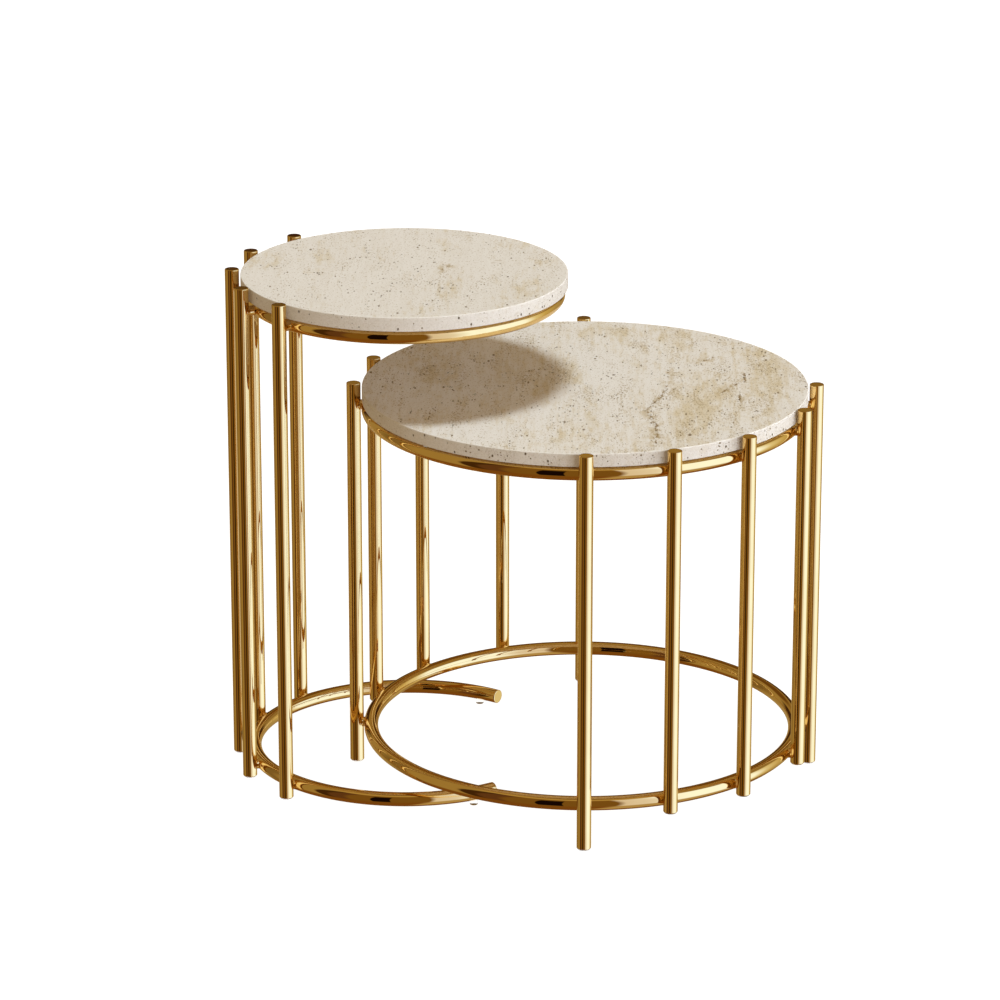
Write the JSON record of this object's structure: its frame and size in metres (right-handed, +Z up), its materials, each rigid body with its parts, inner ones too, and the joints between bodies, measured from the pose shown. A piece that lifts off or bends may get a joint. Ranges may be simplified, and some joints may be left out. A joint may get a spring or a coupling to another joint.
{
  "type": "nesting tables",
  "caption": "Pair of round side tables, stone tops on polished brass-coloured tube frames; the taller one, on a C-shaped base, slides over and around the lower one.",
  "frame": {"origin": "on the floor, under the middle of the pair's bounding box at rest", "axes": "+Z up; +X from the tall table towards the short one, along the pair's length and the nesting slide; +Y towards the back"},
  "size_m": [0.6704, 0.535, 0.579],
  "materials": {
    "travertine": "honed travertine, cream with tan clouds, small open pits and darker veins; edge lighter and greyer",
    "polished_brass": "polished brass-coloured plating, mirror-like with amber and dark-brown reflections",
    "clear_plastic": "cloudy clear moulded nylon",
    "silicone": "cloudy clear silicone"
  },
  "bodies": {
    "short_table": {"short_top": "travertine", "short_upper_ring": "polished_brass", "short_lower_ring": "polished_brass", "short_leg_1": "polished_brass", "short_leg_2": "polished_brass", "short_leg_3": "polished_brass", "short_leg_4": "polished_brass", "short_bar_1": "polished_brass", "short_bar_2": "polished_brass", "short_bar_3": "polished_brass", "short_bar_4": "polished_brass", "short_bar_5": "polished_brass", "short_bar_6": "polished_brass", "short_leg_glide_1": "clear_plastic", "short_leg_glide_2": "clear_plastic", "short_leg_glide_3": "clear_plastic", "short_leg_glide_4": "clear_plastic", "short_bar_plug_1": "clear_plastic", "short_bar_plug_2": "clear_plastic", "short_bar_plug_3": "clear_plastic", "short_bar_plug_4": "clear_plastic", "short_bar_plug_5": "clear_plastic", "short_bar_plug_6": "clear_plastic", "short_top_pad_1": "silicone", "short_top_pad_2": "silicone", "short_top_pad_3": "silicone", "short_top_pad_4": "silicone"},
    "tall_table": {"tall_top": "travertine", "tall_upper_ring": "polished_brass", "tall_base_arc": "polished_brass", "tall_arc_cap_back": "polished_brass", "tall_arc_cap_front": "polished_brass", "tall_post_1": "polished_brass", "tall_post_2": "polished_brass", "tall_post_3": "polished_brass", "tall_post_4": "polished_brass", "tall_post_5": "polished_brass", "tall_post_glide_1": "clear_plastic", "tall_post_glide_2": "clear_plastic", "tall_post_glide_3": "clear_plastic", "tall_post_glide_4": "clear_plastic", "tall_post_glide_5": "clear_plastic", "tall_arc_foot_1": "clear_plastic", "tall_arc_foot_2": "clear_plastic", "tall_top_pad_1": "silicone", "tall_top_pad_2": "silicone", "tall_top_pad_3": "silicone"}
  },
  "joints": [
    {"name": "nest_slide", "type": "slide", "parent": "short_table", "child": "tall_table", "axis": [1, 0, 0], "range_m": [-0.24, 0.095]}
  ]
}
